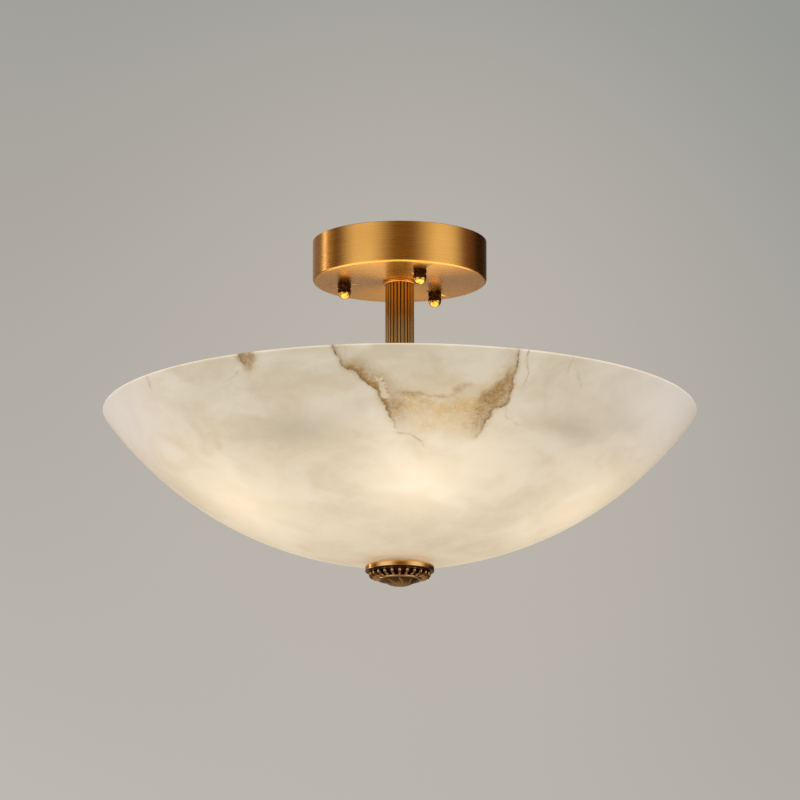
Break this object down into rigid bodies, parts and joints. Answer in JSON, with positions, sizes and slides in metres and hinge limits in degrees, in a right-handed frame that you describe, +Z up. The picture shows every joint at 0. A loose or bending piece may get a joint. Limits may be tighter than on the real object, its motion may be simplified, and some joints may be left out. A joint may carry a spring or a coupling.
{
  "type": "semi-flush ceiling light",
  "caption": "Semi-flush ceiling light: shallow veined alabaster bowl on a reeded brass stem and round canopy, held by a gadrooned finial.",
  "frame": {"origin": "centre of the ceiling plane, where the canopy and the mounting plate meet the ceiling", "axes": "+Z up into the ceiling, +X to the viewer's right and -Y towards the viewer of the picture"},
  "size_m": [0.3999, 0.4, 0.2381],
  "materials": {
    "zinc_steel": "satin",
    "brushed_brass": "brushed",
    "antique_brass": "aged",
    "dark_bronze": "aged",
    "alabaster": "polished",
    "silicone": "matte",
    "white_moulding": "matte",
    "natural_moulding": "matte",
    "contact_brass": "satin",
    "cap_nickel": "satin",
    "opal": "satin",
    "lead_brown": "matte",
    "lead_blue": "matte",
    "lead_earth": "matte"
  },
  "bodies": {
    "ceiling_mount": {"mounting_plate": "zinc_steel", "mounting_studs": "zinc_steel", "stud_lock_nuts": "zinc_steel", "plate_earth_screw": "contact_brass"},
    "fixture": {"canopy": "brushed_brass", "terminal_bracket": "zinc_steel", "canopy_washer": "zinc_steel", "canopy_nut": "zinc_steel", "stem_collar": "brushed_brass", "stem_tube": "antique_brass", "stem_foot": "brushed_brass", "stem_nipple": "zinc_steel", "hub_body": "brushed_brass", "hub_cover": "brushed_brass", "hub_nuts": "zinc_steel", "bowl_rod": "zinc_steel", "holder_nipples": "zinc_steel", "holder_nuts": "zinc_steel", "lampholder_1": "white_moulding", "lampholder_2": "white_moulding", "lampholder_3": "white_moulding", "lampholder_4": "white_moulding", "lampholder_5": "white_moulding", "holder_sleeves": "contact_brass", "holder_contacts": "contact_brass", "terminal_block": "natural_moulding", "terminal_screws": "contact_brass", "canopy_earth_screw": "contact_brass", "live_wire": "lead_brown", "live_spider": "lead_brown", "neutral_wire": "lead_blue", "neutral_spider": "lead_blue", "earth_wire": "lead_earth", "bowl_stop_washer": "zinc_steel", "bowl_stop_nut": "zinc_steel"},
    "thumb_nut_1": {"thumb_nut_1": "antique_brass"},
    "thumb_nut_2": {"thumb_nut_2": "antique_brass"},
    "thumb_nut_3": {"thumb_nut_3": "antique_brass"},
    "bulb_1": {"bulb_1_cap": "cap_nickel", "bulb_1_housing": "white_moulding", "bulb_1_globe": "opal"},
    "bulb_2": {"bulb_2_cap": "cap_nickel", "bulb_2_housing": "white_moulding", "bulb_2_globe": "opal"},
    "bulb_3": {"bulb_3_cap": "cap_nickel", "bulb_3_housing": "white_moulding", "bulb_3_globe": "opal"},
    "bulb_4": {"bulb_4_cap": "cap_nickel", "bulb_4_housing": "white_moulding", "bulb_4_globe": "opal"},
    "bulb_5": {"bulb_5_cap": "cap_nickel", "bulb_5_housing": "white_moulding", "bulb_5_globe": "opal"},
    "bowl": {"alabaster_bowl": "alabaster", "upper_gasket": "silicone", "lower_gasket": "silicone"},
    "finial": {"finial": "dark_bronze"}
  },
  "joints": [
    {"name": "fixture_lower", "type": "slide", "parent": "ceiling_mount", "child": "fixture", "axis": [0, 0, -1], "range_m": [0, 0.007]},
    {"name": "thumb_nut_1_turn", "type": "hinge", "parent": "fixture", "child": "thumb_nut_1", "pos_m": [0.02391, 0.02953, -0.0279], "axis": [0, 0, -1], "range_deg": [0, 3600]},
    {"name": "thumb_nut_2_turn", "type": "hinge", "parent": "fixture", "child": "thumb_nut_2", "pos_m": [-0.03753, 0.00594, -0.0279], "axis": [0, 0, -1], "range_deg": [0, 3600]},
    {"name": "thumb_nut_3_turn", "type": "hinge", "parent": "fixture", "child": "thumb_nut_3", "pos_m": [0.01362, -0.03548, -0.0279], "axis": [0, 0, -1], "range_deg": [0, 3600]},
    {"name": "bowl_lower", "type": "slide", "parent": "fixture", "child": "bowl", "axis": [0, 0, -1], "range_m": [0, 0.01]},
    {"name": "finial_turn", "type": "hinge", "parent": "bowl", "child": "finial", "pos_m": [0, 0, -0.2242], "axis": [0, 0, -1], "range_deg": [0, 3600]},
    {"name": "bulb_1_turn", "type": "hinge", "parent": "fixture", "child": "bulb_1", "pos_m": [0, 0, -0.1499], "axis": [0.1219, -0.9925, 0], "range_deg": [0, 1080]},
    {"name": "bulb_2_turn", "type": "hinge", "parent": "fixture", "child": "bulb_2", "pos_m": [0, 0, -0.1499], "axis": [0.9816, -0.1908, 0], "range_deg": [0, 1080]},
    {"name": "bulb_3_turn", "type": "hinge", "parent": "fixture", "child": "bulb_3", "pos_m": [0, 0, -0.1499], "axis": [0.4848, 0.8746, 0], "range_deg": [0, 1080]},
    {"name": "bulb_4_turn", "type": "hinge", "parent": "fixture", "child": "bulb_4", "pos_m": [0, 0, -0.1499], "axis": [-0.682, 0.7314, 0], "range_deg": [0, 1080]},
    {"name": "bulb_5_turn", "type": "hinge", "parent": "fixture", "child": "bulb_5", "pos_m": [0, 0, -0.1499], "axis": [-0.9063, -0.4226, 0], "range_deg": [0, 1080]}
  ],
  "couplings": [
    {"joint": "thumb_nut_1_turn", "follows": "fixture_lower", "rad_per_m": 8976},
    {"joint": "thumb_nut_2_turn", "follows": "fixture_lower", "rad_per_m": 8976},
    {"joint": "thumb_nut_3_turn", "follows": "fixture_lower", "rad_per_m": 8976},
    {"joint": "finial_turn", "follows": "bowl_lower", "rad_per_m": 6283.2}
  ]
}
